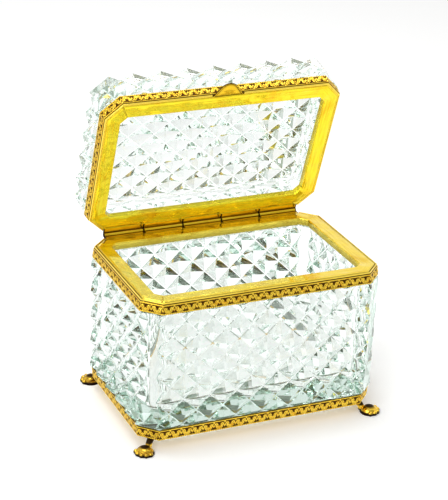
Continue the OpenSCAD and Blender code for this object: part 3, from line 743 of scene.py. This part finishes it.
def tab_solid():
    """Rings of the outline drawn in towards a middle point; their height follows a rim and a dome."""
    outline = tab_outline()
    middle = np.array([0, TAB_OUT * 0.36])
    on_edge = np.array([0, -CASE_D / 2 - FLANGE_OUT])
    rings = [on_edge + (middle + (outline - middle) * share) * (1, -1) for share, _, _ in TAB_RINGS]
    made = stack_rings("tab_casting", rings, [z for _, z, _ in TAB_RINGS])
    along, out = np.concatenate(rings).T
    give_lay(made, along, out, np.repeat([dirt_and_shade for _, _, dirt_and_shade in TAB_RINGS], len(outline)))
    polish(made, TAB_EDGE)
    return made


tab = tab_solid()
on_lid(tab)
tab_gilt = gilt("tab gilding", (0.9, 0.58, 0.03), (0.6, 0.34, 0.015), (0.04, 0.016, 0.003), 0.3, 0.0006)
fit(tab, tab_gilt, "lid", "gilt_cast", "thumb_tab")

# ------------------------------------------------------------------ hinge
# Two brass strips with five rolled knuckles on a plain pin, soldered to the edges of the flanges.
# Dirt has gathered in the joints between knuckles and in the seam where each is rolled over.
KNUCKLES = 5
HINGE_LEN = CASE_W - 2 * (CASE_LEG - (math.sqrt(2) - 1) * FLANGE_OUT + 0.0003)


def dress(name, stuff):
    """Gives a CAD node one material."""
    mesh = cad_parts[name].data
    mesh.materials.clear()
    mesh.materials.append(stuff)


hinge_gilt = gilt("hinge gilding", (1.0, 0.68, 0.05), (0.75, 0.42, 0.02), (0.04, 0.014, 0.002), 0.4, 0.0008,
                  strip=False)
ht = hinge_gilt.node_tree
hinge_place = node(ht, "ShaderNodeTexCoord").outputs["Object"]
along_hinge = axes(ht, mapped(ht, hinge_place, (KNUCKLES / HINGE_LEN, 0, 0), (0.5, 0, 0)))["X"]
off_middle = maths(ht, "ABSOLUTE", maths(ht, "SUBTRACT", maths(ht, "FRACT", along_hinge), 0.5))
joint_dirt = fade(ht, off_middle, 0.470, 0.486)
from_axis = node(ht, "ShaderNodeVectorMath", operation="DISTANCE", i1=(0, HINGE_Y, HINGE_Z))
wire(ht, mapped(ht, hinge_place, (0, 1, 1)), from_axis.inputs[0])
seam_start = fade(ht, from_axis.outputs["Value"], 0.00128, 0.00136)
seam_end = fade(ht, from_axis.outputs["Value"], 0.0018, 0.0022, 1.0, 0.0)
hinge_dirt = maths(ht, "MAXIMUM", joint_dirt, maths(ht, "MULTIPLY", seam_start, seam_end))
wire(ht, hinge_dirt, ht.nodes["wear_and_shade"].inputs["Dirt and shade share"])
for name in ("body_hinge_leaf", "lid_hinge_leaf", "hinge_pin"):
    dress(name, hinge_gilt)

SEAT_R = 0.00132
sweep = np.radians(np.linspace(158, 118, 9))
hollow = SEAT_R * np.column_stack([np.cos(sweep), np.sin(sweep)])
seat_section = np.concatenate([[(-0.0017, 0.00118), (-0.0017, 0.0005)], hollow])


def hinge_seat(name, z, way):
    """The hollowed edge of a leaf, a section swept along the hinge, in which the other's knuckles turn."""
    y, up = HINGE_Y + seat_section[:, 0], z + way * seat_section[:, 1]
    ends = [np.column_stack([np.full(len(y), x), y, up]) for x in (-HINGE_LEN / 2, HINGE_LEN / 2)]
    return solid(name, np.concatenate(ends), tube_faces(len(y), 2))


lid_seat = hinge_seat("lid_hinge_seat", -PARTING / 2, 1)
open_lid(lid_seat)
fit(lid_seat, hinge_gilt, "lid", "gilt_brass")
fit(hinge_seat("body_hinge_seat", HINGE_Z, -1), hinge_gilt, "casket", "gilt_brass")

# ------------------------------------------------------------------ ledge, feet and screws
# The ledge is a flat brass frame under the glass. The feet are cast paws with five toes, gilt on
# top and dark underneath, their stems darkened with painted shade, each held by one countersunk brass screw.
ledge_gilt = gilt("ledge gilding", (0.8, 0.5, 0.04), (0.5, 0.3, 0.02), (0.1, 0.05, 0.01), 0.5, 0.001,
                  strip=False)
dress("base_ledge", ledge_gilt)
screw_gilt = gilt("screw brass", (0.62, 0.44, 0.13), (0.4, 0.25, 0.06), (0.05, 0.03, 0.01), 0.6, 0.0002,
                  strip=False)
dress("foot_screws", screw_gilt)

paw = gilt("cast paw gilding", (0.9, 0.58, 0.06), (0.16, 0.07, 0.008), (0.014, 0.006, 0.005), 0.6, 0.001,
           strip=False)
pt = paw.node_tree
paw_height = axes(pt, node(pt, "ShaderNodeTexCoord").outputs["Object"])["Z"]
# darker under the toes; the stem is darkened almost fully with painted shade
under_toes = fade(pt, paw_height, 0.0012, 0.0024, 1.0, 0.0)
stem_painted_shade = fade(pt, paw_height, 0.0034, 0.0044, 0.0, 0.97)
wire(pt, maths(pt, "MAXIMUM", under_toes, stem_painted_shade), pt.nodes["wear_and_shade"].inputs["Dirt and shade share"])
for corner in ("front_left", "front_right", "rear_right", "rear_left"):
    dress("foot_" + corner, paw)

# ------------------------------------------------------------------ plaster beds
# Setting plaster between glass and brass, grey-green with age, seen only through the glass. The
# base bed is darkened along the front with painted shade.
def plaster(name, mottle_and_shade, lighter_tone, size, shaded_front=False):
    """Plaster mottled between two tones by noise. Where the front is shaded, the share of the lighter tone is
    0.35 noise + 0.75 of a step along y, so that the front is darkened with painted shade."""
    made, tree, shader = principled(name, lighter_tone, 0.9)
    place = node(tree, "ShaderNodeTexCoord").outputs["Object"]
    mottle = noise(tree, place, size, 3.0)
    if shaded_front:
        behind = fade(tree, axes(tree, place)["Y"], -0.02, 0.01, 0.0, 0.75)
        lighter_share = maths(tree, "MULTIPLY_ADD", mottle, 0.35, behind, clamp=True)
    else:
        lighter_share = fade(tree, mottle, 0.35, 0.65)
    wire(tree, mix_colours(tree, lighter_share, mottle_and_shade, lighter_tone), shader.inputs["Base Color"])
    return made


dress("rim_bed", plaster("rim plaster", (0.58, 0.63, 0.48), (0.80, 0.84, 0.72), 320.0))
# the base bed's dark front is painted shade
dress("base_bed", plaster("base plaster", (0.18, 0.22, 0.14), (0.90, 0.94, 0.84), 260.0, shaded_front=True))
dress("lid_bed", plaster("lid plaster", (0.86, 0.84, 0.60), (0.95, 0.94, 0.84), 380.0))
